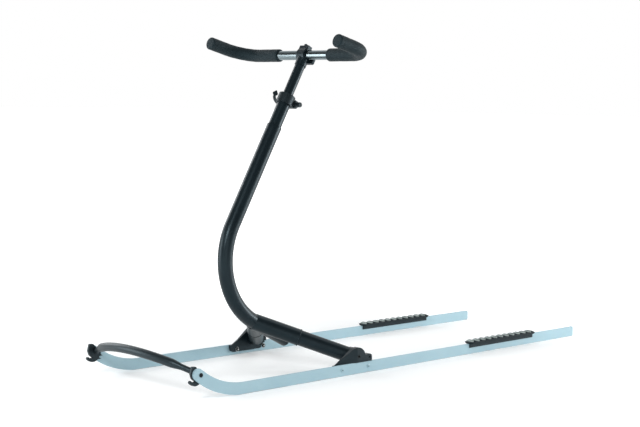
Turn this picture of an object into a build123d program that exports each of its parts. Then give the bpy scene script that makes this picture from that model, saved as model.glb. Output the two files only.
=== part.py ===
from build123d import *
import os
from math import asin, cos, degrees, hypot, radians, sin, sqrt

# Kick sled. Millimetres, Z up, front toward -Y, rider's left is +X.
# Origin on the ground under the middle of the overall box.

# Runners
RUNNER_X = 230.0          # blade's centre plane from the sled's middle plane
BLADE_T = 5.0
BLADE_H = 33.0
REAR_Y = 857.9
FLAT_Y = -633.0           # front end of the straight, flat length
TIP_R = 280.0             # underside radius of the upturned nose
TIP_ANGLE = 37.8
REAR_CORNER = 6.0
BLADE_IN = RUNNER_X - BLADE_T / 2
BLADE_OUT = RUNNER_X + BLADE_T / 2
TIP_MID_R = TIP_R - BLADE_H / 2

# Bolts
BOLT_R = 3.0
HOLE_R = 3.1
HEAD_R = 5.75
HEAD_H = 2.6
NUT_R = 7.0
NUT_H = 5.0

# Nose bolts, along the curve from the end of the blade's edge and up from its underside
TIP_BOLT_BACK = 8.0
TIP_BOLT_UP = 20.0
CLAMP_T = 7.0
CLAMP_IN = BLADE_IN - CLAMP_T

# Foot brackets and the hinge in them
HINGE_Y = -194.5
HINGE_Z = 50.5
CHEEK_T = 15.5
CHEEK_IN = 219.5
CHEEK_OUT = CHEEK_IN + CHEEK_T
PIN_R = 6.0
PIN_RUN = 0.06            # radial clearance of the turning arm on its pin
SIDE_GAP = 0.5            # between the arm's eye and the bracket's cheek
BOLT_Z = 18.0
BOLT_FRONT = 65.5         # of the front bolt before the hinge
BOLT_REAR = 42.0          # of the rear bolt behind the hinge
BRACKET_BOLTS = [(HINGE_Y - BOLT_FRONT, BOLT_Z), (HINGE_Y + BOLT_REAR, BOLT_Z)]   # y, z

# Mast and fork
LEAN = 29.4
BAR_Y = -204.0
BAR_Z = 916.2
MAST_R = 22.0
MAST_BORE_R = 19.7
BEND_START = 557.0        # from the bar's centre down the mast to the bend
BEND_R = 208.5
BEND_ANGLE = 92.5
ARM_R = 22.5
ARM_BORE_R = 20.0
EYE_R = 24.0
EYE_W = 23.0
EYE_OUT = CHEEK_IN - SIDE_GAP
EYE_IN = EYE_OUT - EYE_W
ARM_IN_EYE = 4.0          # of the arm axis' end from the eye's inner face
ARM_AHEAD = 5.5           # of that point before the hinge
ARM_ABOVE = 0.5
ARM_END = (EYE_IN + ARM_IN_EYE, HINGE_Y - ARM_AHEAD, HINGE_Z + ARM_ABOVE)
ARM_INTO_EYE = 5.0        # of the tube's end beyond that point
ARM_START_X = 20.0        # where the arm tube begins inside the crown


def tip_point(radius, angle):
    """Point (y, z) of the nose curve at this radius and angle from straight down."""
    return (FLAT_Y - radius * sin(radians(angle)), TIP_R - radius * cos(radians(angle)))


def mast_point(s):
    """Point at distance s from the bar's centre down the straight mast axis."""
    return Vector(0, BAR_Y - s * sin(radians(LEAN)), BAR_Z - s * cos(radians(LEAN)))


def mast_plane(s):
    """Plane across the mast at distance s, normal up the mast, x to the left, y to the rear."""
    up = (0, sin(radians(LEAN)), cos(radians(LEAN)))
    return Plane(origin=mast_point(s), x_dir=(1, 0, 0), z_dir=up)


bend_top = mast_point(BEND_START)
bend_centre = bend_top + mast_plane(0).y_dir * BEND_R


def bend_point(angle):
    """Point of the mast's bend, this many degrees after its upper end."""
    turn = radians(180 - LEAN + angle)
    return bend_centre + Vector(0, cos(turn), sin(turn)) * BEND_R


def bend_end_plane():
    """Plane across the mast's lower end, its normal up along the tube."""
    turn = radians(180 - LEAN + BEND_ANGLE)
    return Plane(origin=bend_point(BEND_ANGLE), x_dir=(1, 0, 0), z_dir=(0, sin(turn), -cos(turn)))


FORK_TOP = bend_point(BEND_ANGLE)


def arm_point(x):
    """Point of the left arm's axis at this x."""
    return FORK_TOP + (Vector(*ARM_END) - FORK_TOP) * (x / ARM_END[0])


def arm_plane(x, side=1):
    """Plane across an arm at this distance from the middle, its normal along the arm outward."""
    spot = arm_point(x)
    along = Vector(*ARM_END) - FORK_TOP
    return Plane(
        origin=(side * spot.X, spot.Y, spot.Z), x_dir=(0, -along.Z, along.Y),
        z_dir=(side * along.X, along.Y, along.Z),
    )


def arm_length(start_x, end_x):
    """Length along an arm's axis between two distances from the middle."""
    return (arm_point(end_x) - arm_point(start_x)).length


# Runner blades, flat bars with the nose curled up and rounded off
with BuildPart() as runner_left:
    with BuildSketch(Plane.YZ.offset(BLADE_IN)) as blade_side:
        with BuildLine():
            Line((REAR_Y, BLADE_H), (REAR_Y, 0))
            Line((REAR_Y, 0), (FLAT_Y, 0))
            ThreePointArc((FLAT_Y, 0), tip_point(TIP_R, TIP_ANGLE / 2), tip_point(TIP_R, TIP_ANGLE))
            nose_angle = TIP_ANGLE + degrees(BLADE_H / 2 / TIP_MID_R)
            ThreePointArc(
                tip_point(TIP_R, TIP_ANGLE),
                tip_point(TIP_MID_R, nose_angle),
                tip_point(TIP_R - BLADE_H, TIP_ANGLE),
            )
            ThreePointArc(
                tip_point(TIP_R - BLADE_H, TIP_ANGLE),
                tip_point(TIP_R - BLADE_H, TIP_ANGLE / 2),
                (FLAT_Y, BLADE_H),
            )
            Line((FLAT_Y, BLADE_H), (REAR_Y, BLADE_H))
        make_face()
        rear_corners = blade_side.vertices().group_by(Axis.X)[-1]
        fillet(rear_corners, REAR_CORNER)
    extrude(amount=BLADE_T)
    bolt_r = TIP_R - TIP_BOLT_UP
    tip_bolt = tip_point(bolt_r, TIP_ANGLE - degrees(TIP_BOLT_BACK / bolt_r))
    with BuildSketch(Plane.YZ.offset(BLADE_IN)):
        with Locations(tip_bolt, *BRACKET_BOLTS):
            Circle(HOLE_R)
    extrude(amount=BLADE_T, mode=Mode.SUBTRACT)

with BuildPart() as runner_right:
    add(mirror(runner_left.part, about=Plane.YZ))


# Tip clamps: a plate inside each nose with a towing hook below and two catch teeth behind
PLATE_OUTLINE = [(-25, 24), (-13, 23), (14, -5), (4, -21), (-18, -14), (-25, -8), (-30, 5)]   # y, z
HOOK_ROOT = (4, -21)
HOOK_LOW = (-16, -28)
HOOK_END = (-31, -21)
HOOK_TIP = (-34, -16)
HOOK_LIP = (-28, -13)
HOOK_THROAT = (-21, -17)
HOOK_IN = (-12, -13)
CATCH_TEETH = [(15, -22), (20, -13)]      # tip y, z
TOOTH_H = 8.0
TOOTH_L = 14.0
clamp_plane = Plane(origin=(CLAMP_IN, *tip_bolt), x_dir=(0, 1, 0), z_dir=(1, 0, 0))
with BuildPart() as tip_clamp_left:
    with BuildSketch(clamp_plane):
        with BuildLine():
            Polyline(*PLATE_OUTLINE, close=True)
        make_face()
        with BuildLine():
            ThreePointArc(HOOK_ROOT, HOOK_LOW, HOOK_END)
            ThreePointArc(HOOK_END, HOOK_TIP, HOOK_LIP)
            ThreePointArc(HOOK_LIP, HOOK_THROAT, HOOK_IN)
            Line(HOOK_IN, HOOK_ROOT)
        make_face()
        for tip_y, tip_z in CATCH_TEETH:
            with BuildLine():
                Polyline(
                    (tip_y, tip_z), (tip_y - TOOTH_L, tip_z + TOOTH_H), (tip_y - TOOTH_L, tip_z),
                    close=True,
                )
            make_face()
        Circle(HOLE_R, mode=Mode.SUBTRACT)
    extrude(amount=CLAMP_T)

with BuildPart() as tip_clamp_right:
    add(mirror(tip_clamp_left.part, about=Plane.YZ))

with BuildPart() as tip_bolts:
    for side in (1, -1):
        with BuildSketch(Plane.YZ.offset(side * CLAMP_IN)):
            with Locations(tip_bolt):
                Circle(BOLT_R)
        extrude(amount=side * (CLAMP_T + BLADE_T))
        with BuildSketch(Plane.YZ.offset(side * BLADE_OUT)):
            with Locations(tip_bolt):
                Circle(HEAD_R)
        extrude(amount=side * HEAD_H)


# Front bow, a padded tube that arches forward and up between the two tip clamps
BOW_R = 12.25
BOW_END_R = 8.0
BOW_BULGE = 71.55         # of the arch's middle from the line between its ends
BOW_TILT = 34.9           # of the arch's plane above the horizontal
BOW_AHEAD = 1.0           # of the bow's ends before the nose bolts
BOW_ABOVE = 2.0
BOW_END_Y = tip_bolt[0] - BOW_AHEAD
BOW_END_Z = tip_bolt[1] + BOW_ABOVE
BOW_THICK_X = 150.0       # full thickness inside this distance from the middle
BOW_THIN_X = 186.0        # thin outside this one
bow_arc_r = (CLAMP_IN ** 2 + BOW_BULGE ** 2) / (2 * BOW_BULGE)


def bow_plane(x):
    """Plane across the bow at this x, its normal along the bow to the left."""
    turn = asin(x / bow_arc_r)
    out = bow_arc_r * cos(turn) - bow_arc_r + BOW_BULGE
    tilt = radians(BOW_TILT)
    spot = (x, BOW_END_Y - out * cos(tilt), BOW_END_Z + out * sin(tilt))
    along = (cos(turn), sin(turn) * cos(tilt), -sin(turn) * sin(tilt))
    return Plane(origin=spot, x_dir=(0, sin(tilt), cos(tilt)), z_dir=along)


def bow_run(start_x, end_x, radius):
    """Stretch of the bow with an even radius."""
    with BuildPart() as run:
        with BuildLine() as path:
            ThreePointArc(
                bow_plane(start_x).origin,
                bow_plane((start_x + end_x) / 2).origin,
                bow_plane(end_x).origin,
            )
        with BuildSketch(bow_plane(start_x)):
            Circle(radius)
        sweep(path=path.line)
    return run.part


with BuildPart() as front_bow:
    add(bow_run(-BOW_THICK_X, BOW_THICK_X, BOW_R))
    for side in (1, -1):
        with BuildSketch(bow_plane(side * BOW_THICK_X)):
            Circle(BOW_R)
        with BuildSketch(bow_plane(side * BOW_THIN_X)):
            Circle(BOW_END_R)
        loft()
        add(bow_run(side * BOW_THIN_X, side * CLAMP_IN, BOW_END_R))
    for side in (1, -1):
        with BuildSketch(Plane.YZ.offset(side * CLAMP_IN)):
            with Locations((BOW_END_Y, BOW_END_Z)):
                Circle(2 * BOW_R)
        extrude(amount=side * BOW_R, mode=Mode.SUBTRACT)


# Foot brackets: a cheek over the blade with the hinge hump and the rear lug, a flange inside it
HUMP_R = 33.0
HUMP_AHEAD = 4.5          # of the hump's centre before the hinge
HUMP_BELOW = 6.0
HUMP_Y = HINGE_Y - HUMP_AHEAD
HUMP_Z = HINGE_Z - HUMP_BELOW
TOE_AHEAD = 86.0          # of the cheek's toe before the hinge
TOE_Y = HINGE_Y - TOE_AHEAD
TOE_T = 5.0               # the cheek's thickness at its toe
TOE_THIN = 25.0           # along the sled, from the toe to the end of that thickness
TOE_RUN = 80.0            # from the toe to the full thickness
LUG_BEHIND = 45.0         # of the lug behind the hinge
LUG_BELOW = 5.5
LUG_Y = HINGE_Y + LUG_BEHIND
LUG_Z = HINGE_Z - LUG_BELOW
LUG_R = 9.7
LUG_HOLE_R = 3.25
VALLEY_DEPTH = 0.6        # of the edge before the lug, below the lug's top
VALLEY_Z = LUG_Z + LUG_R - VALLEY_DEPTH
FLANGE_BOTTOM = 11.0
FLANGE_AHEAD = 8.0        # of the flange before the toe
FLANGE_BEHIND = 47.0      # of the flange behind the hinge
FLANGE_FRONT_Y = TOE_Y - FLANGE_AHEAD
FLANGE_REAR_Y = HINGE_Y + FLANGE_BEHIND
FLANGE_CORNER = 14.0
FLANGE_TEETH = 3
FLANGE_TOOTH_L = 7.5
FLANGE_TOOTH_HOOK = 2.25  # of each tooth's point past its root
tooth_rise = (BLADE_H - FLANGE_BOTTOM) / FLANGE_TEETH
teeth_front_y = FLANGE_REAR_Y - FLANGE_TEETH * FLANGE_TOOTH_L
toe_reach = hypot(HUMP_Y - TOE_Y, HUMP_Z - BLADE_H)
front_len = sqrt(toe_reach ** 2 - HUMP_R ** 2)
front_turn = asin((HUMP_Z - BLADE_H) / toe_reach) + asin(HUMP_R / toe_reach)
front_top = (TOE_Y + front_len * cos(front_turn), BLADE_H + front_len * sin(front_turn))
with BuildPart() as foot_bracket_left:
    with BuildSketch(Plane.YZ.offset(CHEEK_IN)) as cheek:
        with Locations((HUMP_Y, HUMP_Z)):
            Circle(HUMP_R)
        with BuildLine():
            Polyline((TOE_Y, BLADE_H), front_top, (HUMP_Y, HUMP_Z), (HUMP_Y, BLADE_H), close=True)
        make_face()
        with Locations(((HUMP_Y + LUG_Y) / 2, (BLADE_H + VALLEY_Z) / 2)):
            Rectangle(LUG_Y - HUMP_Y, VALLEY_Z - BLADE_H)
        with Locations((LUG_Y, LUG_Z)):
            Circle(LUG_R)
        with Locations((LUG_Y, (BLADE_H + LUG_Z) / 2)):
            Rectangle(2 * LUG_R, LUG_Z - BLADE_H)
        with Locations((HUMP_Y, BLADE_H - HUMP_R)):
            Rectangle(4 * HUMP_R, 2 * HUMP_R, mode=Mode.SUBTRACT)
    extrude(amount=CHEEK_T)
    with BuildSketch(Plane.XY):
        with BuildLine():
            Polyline(
                (CHEEK_IN + TOE_T, TOE_Y + TOE_THIN), (CHEEK_OUT, TOE_Y + TOE_RUN),
                (CHEEK_OUT + CHEEK_T, TOE_Y + TOE_RUN), (CHEEK_OUT + CHEEK_T, TOE_Y - TOE_RUN),
                (CHEEK_IN + TOE_T, TOE_Y - TOE_RUN), close=True,
            )
        make_face()
    extrude(amount=HUMP_Z + 2 * HUMP_R, mode=Mode.SUBTRACT)
    with BuildSketch(Plane.YZ.offset(CHEEK_IN)) as flange:
        with BuildLine():
            Line((FLANGE_FRONT_Y, BLADE_H), (FLANGE_FRONT_Y, FLANGE_BOTTOM))
            Line((FLANGE_FRONT_Y, FLANGE_BOTTOM), (teeth_front_y, FLANGE_BOTTOM))
            for k in range(FLANGE_TEETH):
                tooth_y = teeth_front_y + k * FLANGE_TOOTH_L
                tooth_z = FLANGE_BOTTOM + k * tooth_rise
                Polyline(
                    (tooth_y, tooth_z),
                    (tooth_y + FLANGE_TOOTH_L + FLANGE_TOOTH_HOOK, tooth_z + tooth_rise / 3),
                    (tooth_y + FLANGE_TOOTH_L, tooth_z + tooth_rise),
                )
            Line((FLANGE_REAR_Y, BLADE_H), (FLANGE_FRONT_Y, BLADE_H))
        make_face()
        low_front = flange.vertices().group_by(Axis.Y)[0].sort_by(Axis.X)[0]
        fillet(low_front, FLANGE_CORNER)
    extrude(amount=BLADE_IN - CHEEK_IN)
    with BuildSketch(Plane.YZ.offset(CHEEK_IN)):
        with Locations((HINGE_Y, HINGE_Z)):
            Circle(PIN_R)
        with Locations((LUG_Y, LUG_Z)):
            Circle(LUG_HOLE_R)
        with Locations(*BRACKET_BOLTS):
            Circle(HOLE_R)
    extrude(amount=CHEEK_T, mode=Mode.SUBTRACT)

with BuildPart() as foot_bracket_right:
    add(mirror(foot_bracket_left.part, about=Plane.YZ))

# Bolts that hold the brackets to the blades
with BuildPart() as bracket_bolts:
    for side in (1, -1):
        for spot in BRACKET_BOLTS:
            with BuildSketch(Plane.YZ.offset(side * CHEEK_IN)):
                with Locations(spot):
                    Circle(BOLT_R)
            extrude(amount=side * (BLADE_OUT - CHEEK_IN))
            with BuildSketch(Plane.YZ.offset(side * BLADE_OUT)):
                with Locations(spot):
                    Circle(HEAD_R)
            extrude(amount=side * HEAD_H)
            with BuildSketch(Plane.YZ.offset(side * CHEEK_IN)):
                with Locations(spot):
                    RegularPolygon(NUT_R, 6)
            extrude(amount=-side * NUT_H)

# Hinge pins with a hexagon socket in the outer end
SOCKET_R = 3.5
SOCKET_DEPTH = 6.0
with BuildPart() as hinge_pins:
    for side in (1, -1):
        with BuildSketch(Plane.YZ.offset(side * EYE_IN)):
            with Locations((HINGE_Y, HINGE_Z)):
                Circle(PIN_R)
        extrude(amount=side * (CHEEK_OUT - EYE_IN))
        with BuildSketch(Plane.YZ.offset(side * CHEEK_OUT)):
            with Locations((HINGE_Y, HINGE_Z)):
                RegularPolygon(SOCKET_R, 6)
        extrude(amount=-side * SOCKET_DEPTH, mode=Mode.SUBTRACT)


# Footrests: a rubber plate with cross ribs and bevelled, overhanging ends on a skirt over the blade
REST_FRONT = 300.0
REST_LEN = 335.0
REST_W = 36.0
REST_CORNER = 15.0
REST_T = 5.5
REST_BEVEL = 30.0         # degrees, of the plate's edge from upright
RIB_COUNT = 11
RIB_PITCH = 29.5
RIB_L = 17.0              # at the rib's foot, along the sled
RIB_H = 5.0
RIB_SIDE = 40.0           # degrees, of the rib's sides from upright
RIB_INSET = 2.0
SKIRT_INSET = 6.5         # from each end of the plate
SKIRT_WALL = 3.1
SKIRT_FIT = 0.1
SKIRT_BOTTOM = 20.5
rest_spot = (RUNNER_X, REST_FRONT + REST_LEN / 2)
rest_under = 2 * REST_T * sin(radians(REST_BEVEL)) / cos(radians(REST_BEVEL))
skirt_len = REST_LEN - 2 * SKIRT_INSET
with BuildPart() as footrest_left:
    with BuildSketch(Plane.XY.offset(BLADE_H)):
        with Locations(rest_spot):
            RectangleRounded(
                REST_W - rest_under, REST_LEN - rest_under, REST_CORNER - rest_under / 2,
            )
    extrude(amount=REST_T, taper=-REST_BEVEL)
    with BuildSketch(Plane.XY.offset(BLADE_H + REST_T)):
        with Locations(rest_spot):
            with GridLocations(0, RIB_PITCH, 1, RIB_COUNT):
                Rectangle(REST_W - 2 * RIB_INSET, RIB_L)
    extrude(amount=RIB_H, taper=RIB_SIDE)
    with BuildSketch(Plane.XY.offset(SKIRT_BOTTOM)):
        with Locations(rest_spot):
            Rectangle(BLADE_T + 2 * SKIRT_FIT + 2 * SKIRT_WALL, skirt_len)
            Rectangle(BLADE_T + 2 * SKIRT_FIT, skirt_len, mode=Mode.SUBTRACT)
    extrude(amount=BLADE_H - SKIRT_BOTTOM)

with BuildPart() as footrest_right:
    add(mirror(footrest_left.part, about=Plane.YZ))


# Fork arms, each a tube with an eye that turns on the hinge pin
with BuildPart() as arm_left:
    with BuildSketch(arm_plane(ARM_START_X)):
        Circle(ARM_R)
    extrude(amount=arm_length(ARM_START_X, ARM_END[0] + ARM_INTO_EYE))
    with BuildSketch(Plane.YZ.offset(EYE_IN)):
        with Locations((HINGE_Y, HINGE_Z)):
            Circle(EYE_R)
    extrude(amount=EYE_W)
    with BuildSketch(arm_plane(ARM_START_X)):
        Circle(ARM_BORE_R)
    extrude(amount=arm_length(ARM_START_X, EYE_IN - 2 * ARM_BORE_R), mode=Mode.SUBTRACT)
    with BuildSketch(Plane.YZ.offset(EYE_OUT)):
        with Locations((HINGE_Y, HINGE_Z)):
            Circle(4 * ARM_R)
    extrude(amount=4 * ARM_R, mode=Mode.SUBTRACT)
    with BuildSketch(Plane.YZ.offset(EYE_IN - EYE_W)):
        with Locations((HINGE_Y, HINGE_Z)):
            Circle(PIN_R + PIN_RUN)
    extrude(amount=2 * EYE_W, mode=Mode.SUBTRACT)

with BuildPart() as arm_right:
    add(mirror(arm_left.part, about=Plane.YZ))


# Mast: a wide tube with a bend, from the fork up to the step
STEP_S = 238.0            # down the mast: upper end of the wide tube
with BuildPart() as mast_tube:
    with BuildLine() as mast_path:
        ThreePointArc(bend_point(BEND_ANGLE), bend_point(BEND_ANGLE / 2), bend_top)
        Line(bend_top, mast_point(STEP_S))
    with BuildSketch(bend_end_plane()):
        Circle(MAST_R)
        Circle(MAST_BORE_R, mode=Mode.SUBTRACT)
    sweep(path=mast_path.line)

# Narrower upper end of the mast, the guide of the sliding tube
INNER_R = 15.0
INNER_BORE_R = 13.0
TUBE_FIT = 0.1            # radial, of a tube in the next
UPPER_R = MAST_BORE_R - TUBE_FIT
UPPER_BORE_R = INNER_R + TUBE_FIT
UPPER_END_S = 298.0       # lower end, inside the wide tube
COLLAR_TOP_S = 137.0
COLLAR_H = 30.0
COLLAR_LIP_T = 3.0
COLLAR_SEAT = 0.3         # between the tube's end and the collar's lip
with BuildPart() as mast_sleeve:
    with BuildSketch(mast_plane(UPPER_END_S)):
        Circle(UPPER_R)
        Circle(UPPER_BORE_R, mode=Mode.SUBTRACT)
    extrude(amount=UPPER_END_S - COLLAR_TOP_S - COLLAR_LIP_T - COLLAR_SEAT)

# Crown: the mast's foot runs on between two sleeves that hold the arms
SLEEVE_R = ARM_R + 1.5
SLEEVE_LEN = 137.0
TAIL_LEN = 140.0
SEAT_ANGLE = 14.0         # of the mast's bend that the sleeves reach round
with BuildPart() as fork_crown:
    for side in (1, -1):
        with BuildSketch(arm_plane(0, side)):
            Circle(SLEEVE_R)
        extrude(amount=SLEEVE_LEN)
    with BuildSketch(bend_end_plane()):
        Circle(MAST_R)
    extrude(amount=-TAIL_LEN)
    for side in (1, -1):
        with BuildSketch(arm_plane(ARM_START_X, side)):
            Circle(ARM_R)
        extrude(amount=SLEEVE_LEN + ARM_R, mode=Mode.SUBTRACT)
    with BuildLine() as seat_path:
        ThreePointArc(
            bend_point(BEND_ANGLE),
            bend_point(BEND_ANGLE - SEAT_ANGLE / 2),
            bend_point(BEND_ANGLE - SEAT_ANGLE),
        )
    with BuildSketch(bend_end_plane()):
        Circle(MAST_R)
    sweep(path=seat_path.line, mode=Mode.SUBTRACT)

# Quick release collar round the upper end of the mast, its two round clamping ears behind
COLLAR_R = 25.0
COLLAR_LIP_IN = 15.6
EAR_HALF_W = 14.0
EAR_R = 12.0
SLIT_W = 2.4
SKEWER_BACK = 30.0        # behind the mast's axis
SKEWER_R = 3.0
SKEWER_DOWN = 13.0        # below the collar's top
skewer_s = COLLAR_TOP_S + SKEWER_DOWN
skewer_at = mast_point(skewer_s) + mast_plane(0).y_dir * SKEWER_BACK
skewer_plane = Plane(origin=skewer_at, x_dir=mast_plane(0).y_dir, z_dir=(1, 0, 0))
with BuildPart() as release_collar:
    with BuildSketch(mast_plane(COLLAR_TOP_S + COLLAR_H)):
        Circle(COLLAR_R)
    extrude(amount=COLLAR_H)
    with BuildSketch(skewer_plane.offset(-EAR_HALF_W)):
        Circle(EAR_R)
        with Locations((-SKEWER_BACK / 2, 0)):
            Rectangle(SKEWER_BACK, 2 * EAR_R)
    extrude(amount=2 * EAR_HALF_W)
    with BuildSketch(mast_plane(COLLAR_TOP_S + COLLAR_H)):
        Circle(UPPER_R)
    extrude(amount=COLLAR_H - COLLAR_LIP_T, mode=Mode.SUBTRACT)
    with BuildSketch(mast_plane(COLLAR_TOP_S + COLLAR_LIP_T)):
        Circle(COLLAR_LIP_IN)
    extrude(amount=COLLAR_LIP_T, mode=Mode.SUBTRACT)
    with BuildSketch(mast_plane(COLLAR_TOP_S + COLLAR_H)):
        with Locations((0, SKEWER_BACK)):
            Rectangle(SLIT_W, 2 * SKEWER_BACK)
    extrude(amount=COLLAR_H, mode=Mode.SUBTRACT)
    with BuildSketch(skewer_plane.offset(-EAR_HALF_W)):
        Circle(SKEWER_R)
    extrude(amount=2 * EAR_HALF_W, mode=Mode.SUBTRACT)

KNOB_R = 7.5
KNOB_LEN = 21.0
CAM_R = 9.0
CAM_LEN = 11.0
skewer_left = EAR_HALF_W + KNOB_LEN / 2
skewer_right = EAR_HALF_W + CAM_LEN
with BuildPart() as release_skewer:
    with BuildSketch(skewer_plane.offset(-skewer_right)):
        Circle(SKEWER_R)
    extrude(amount=skewer_left + skewer_right)

# Adjusting nut of the quick release, on the left
with BuildPart() as release_nut:
    with BuildSketch(skewer_plane.offset(EAR_HALF_W)):
        Circle(KNOB_R)
    extrude(amount=KNOB_LEN)
    knob_end = release_nut.edges().group_by(Axis.X)[-1]
    fillet(knob_end, KNOB_R / 2)
    with BuildSketch(skewer_plane.offset(EAR_HALF_W)):
        Circle(SKEWER_R)
    extrude(amount=KNOB_LEN / 2, mode=Mode.SUBTRACT)

# Cam lever of the quick release, on the right: it curls round the collar to a diamond thumb paddle
LEVER_MID = (-38.0, 10.0, 157.0)     # x, behind the mast's axis, down the mast
LEVER_END = (-38.0, -14.0, 145.0)
LEVER_W = 8.0
LEVER_T = 5.0
PADDLE_AT = (-38.0, -14.0, 138.0)
PADDLE_W = 17.0
PADDLE_H = 22.0
PADDLE_T = 5.0
PADDLE_ROUND = 2.0
PADDLE_TURN = 40.0        # degrees, of the paddle's width from straight ahead


def beside_mast(x, back, s):
    """Point beside the mast: x, behind its axis, down the mast."""
    return mast_point(s) + Vector(x, 0, 0) + mast_plane(0).y_dir * back


with BuildPart() as release_lever:
    with BuildSketch(skewer_plane.offset(-EAR_HALF_W)):
        Circle(CAM_R)
    extrude(amount=-CAM_LEN)
    lever_root = skewer_at + Vector(-EAR_HALF_W - CAM_LEN / 2, 0, 0)
    with BuildLine() as lever_path:
        lever_arc = ThreePointArc(lever_root, beside_mast(*LEVER_MID), beside_mast(*LEVER_END))
    with BuildSketch(Plane(origin=lever_root, x_dir=mast_plane(0).z_dir, z_dir=lever_arc % 0)):
        Rectangle(LEVER_W, LEVER_T)
    sweep(path=lever_path.line)
    paddle_out = Vector(-sin(radians(PADDLE_TURN)), 0, 0) - mast_plane(0).y_dir * cos(radians(PADDLE_TURN))
    paddle_plane = Plane(
        origin=beside_mast(*PADDLE_AT), x_dir=paddle_out, z_dir=paddle_out.cross(mast_plane(0).z_dir),
    )
    with BuildSketch(paddle_plane.offset(-PADDLE_T / 2)) as paddle:
        with BuildLine():
            Polyline(
                (PADDLE_W / 2, 0), (0, PADDLE_H / 2), (-PADDLE_W / 2, 0), (0, -PADDLE_H / 2),
                close=True,
            )
        make_face()
        fillet(paddle.vertices(), PADDLE_ROUND)
    extrude(amount=PADDLE_T)
    with BuildSketch(skewer_plane.offset(-EAR_HALF_W)):
        Circle(SKEWER_R)
    extrude(amount=-CAM_LEN, mode=Mode.SUBTRACT)

# Handlebar sizes that the stem shares
BAR_R = 14.0
BAR_BORE_R = 12.0

# Sliding tube that carries the stem
INNER_END_S = 322.0
STEM_R = 21.0
with BuildPart() as inner_tube:
    with BuildSketch(mast_plane(INNER_END_S)):
        Circle(INNER_R)
        Circle(INNER_BORE_R, mode=Mode.SUBTRACT)
    extrude(amount=INNER_END_S - STEM_R)

# Stem: a barrel round the bar on a socket, a raised head before it and a wide bolted cap behind
STEM_HALF_W = 15.0
STEM_SOCKET_WALL = 2.2
STEM_SOCKET_END_S = 36.0
CAP_H = 40.0
CAP_T = 9.0
CAP_HALF_W = 29.0
CAP_ROUND = 4.5
CAP_BACK = 13.0           # of the cap's front face behind the bar's axis
HEAD_HALF_W = 19.0
HEAD_T = 15.0
HEAD_UP = 25.0
HEAD_AHEAD = 7.0          # of the head's middle before the bar's axis
TAB_W = 8.0
TAB_T = 8.0
TAB_UP = 31.0
TAB_AHEAD = 9.0
bar_plane = Plane(origin=(-STEM_HALF_W, BAR_Y, BAR_Z), x_dir=(0, 1, 0), z_dir=(1, 0, 0))
cap_plane = Plane(
    origin=mast_point(0) + mast_plane(0).y_dir * CAP_BACK, x_dir=(1, 0, 0), z_dir=mast_plane(0).y_dir,
)
with BuildPart() as stem:
    with BuildSketch(bar_plane):
        Circle(STEM_R)
    extrude(amount=2 * STEM_HALF_W)
    with BuildSketch(mast_plane(STEM_SOCKET_END_S)):
        Circle(INNER_R + STEM_SOCKET_WALL)
    extrude(amount=STEM_SOCKET_END_S)
    with BuildSketch(cap_plane):
        RectangleRounded(2 * CAP_HALF_W, CAP_H, CAP_ROUND)
    extrude(amount=CAP_T)
    with BuildSketch(mast_plane(0)):
        with Locations((0, -HEAD_AHEAD)):
            Rectangle(2 * HEAD_HALF_W, HEAD_T)
    extrude(amount=HEAD_UP)
    with BuildSketch(mast_plane(0)):
        with Locations((0, -TAB_AHEAD)):
            Rectangle(TAB_W, TAB_T)
    extrude(amount=TAB_UP)
    with BuildSketch(bar_plane.offset(-CAP_HALF_W)):
        Circle(BAR_R)
    extrude(amount=4 * CAP_HALF_W, mode=Mode.SUBTRACT)
    with BuildSketch(mast_plane(INNER_END_S)):
        Circle(INNER_R)
    extrude(amount=INNER_END_S - STEM_R, mode=Mode.SUBTRACT)


# Handlebar: one tube whose ends curve forward and a little up
GRIP_R = 19.0
GRIP_START_X = 104.0
GRIP_EDGE = 4.0
HORN_X = 267.8
HORN_BEND_R = 73.5
HORN_REACH = 141.0
HORN_RISE = 14.1
PLUG_T = 3.0
reach = Vector(0, -cos(radians(HORN_RISE)), sin(radians(HORN_RISE)))
corner_x = HORN_X - HORN_BEND_R
bend_mid = HORN_BEND_R * sin(radians(45))


def horn(x, along):
    """Point of the left horn: this far out, and this far along the horn's own direction."""
    return Vector(x, BAR_Y, BAR_Z) + reach * along


def bar_tube(outer, inner, start, end_along):
    """Tube along the left half of the bar from x = start round to the horn's end."""
    with BuildPart() as tube:
        with BuildLine() as path:
            Line(horn(start, 0), horn(corner_x, 0))
            ThreePointArc(
                horn(corner_x, 0),
                horn(corner_x + bend_mid, HORN_BEND_R - bend_mid),
                horn(HORN_X, HORN_BEND_R),
            )
            Line(horn(HORN_X, HORN_BEND_R), horn(HORN_X, end_along))
        with BuildSketch(Plane(origin=horn(start, 0), x_dir=(0, 1, 0), z_dir=(1, 0, 0))):
            Circle(outer)
            Circle(inner, mode=Mode.SUBTRACT)
        sweep(path=path.line)
    return tube.part


with BuildPart() as handlebar:
    add(bar_tube(BAR_R, BAR_BORE_R, 0.0, HORN_REACH - PLUG_T))
    mirror(about=Plane.YZ)

with BuildPart() as grip_left:
    add(bar_tube(GRIP_R, BAR_R, GRIP_START_X, HORN_REACH))
    start_edges = grip_left.edges().group_by(Axis.X)[0].sort_by(SortBy.LENGTH)
    end_edges = grip_left.edges().group_by(Axis.Y)[0].sort_by(SortBy.LENGTH)
    fillet([start_edges[-1], end_edges[-1]], GRIP_EDGE)

with BuildPart() as grip_right:
    add(mirror(grip_left.part, about=Plane.YZ))

# Plugs in the bar's ends
with BuildPart() as end_plugs:
    with BuildSketch(Plane(origin=horn(HORN_X, HORN_REACH - PLUG_T), x_dir=(1, 0, 0), z_dir=reach)):
        Circle(BAR_R)
    extrude(amount=PLUG_T)
    mirror(about=Plane.YZ)


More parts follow.
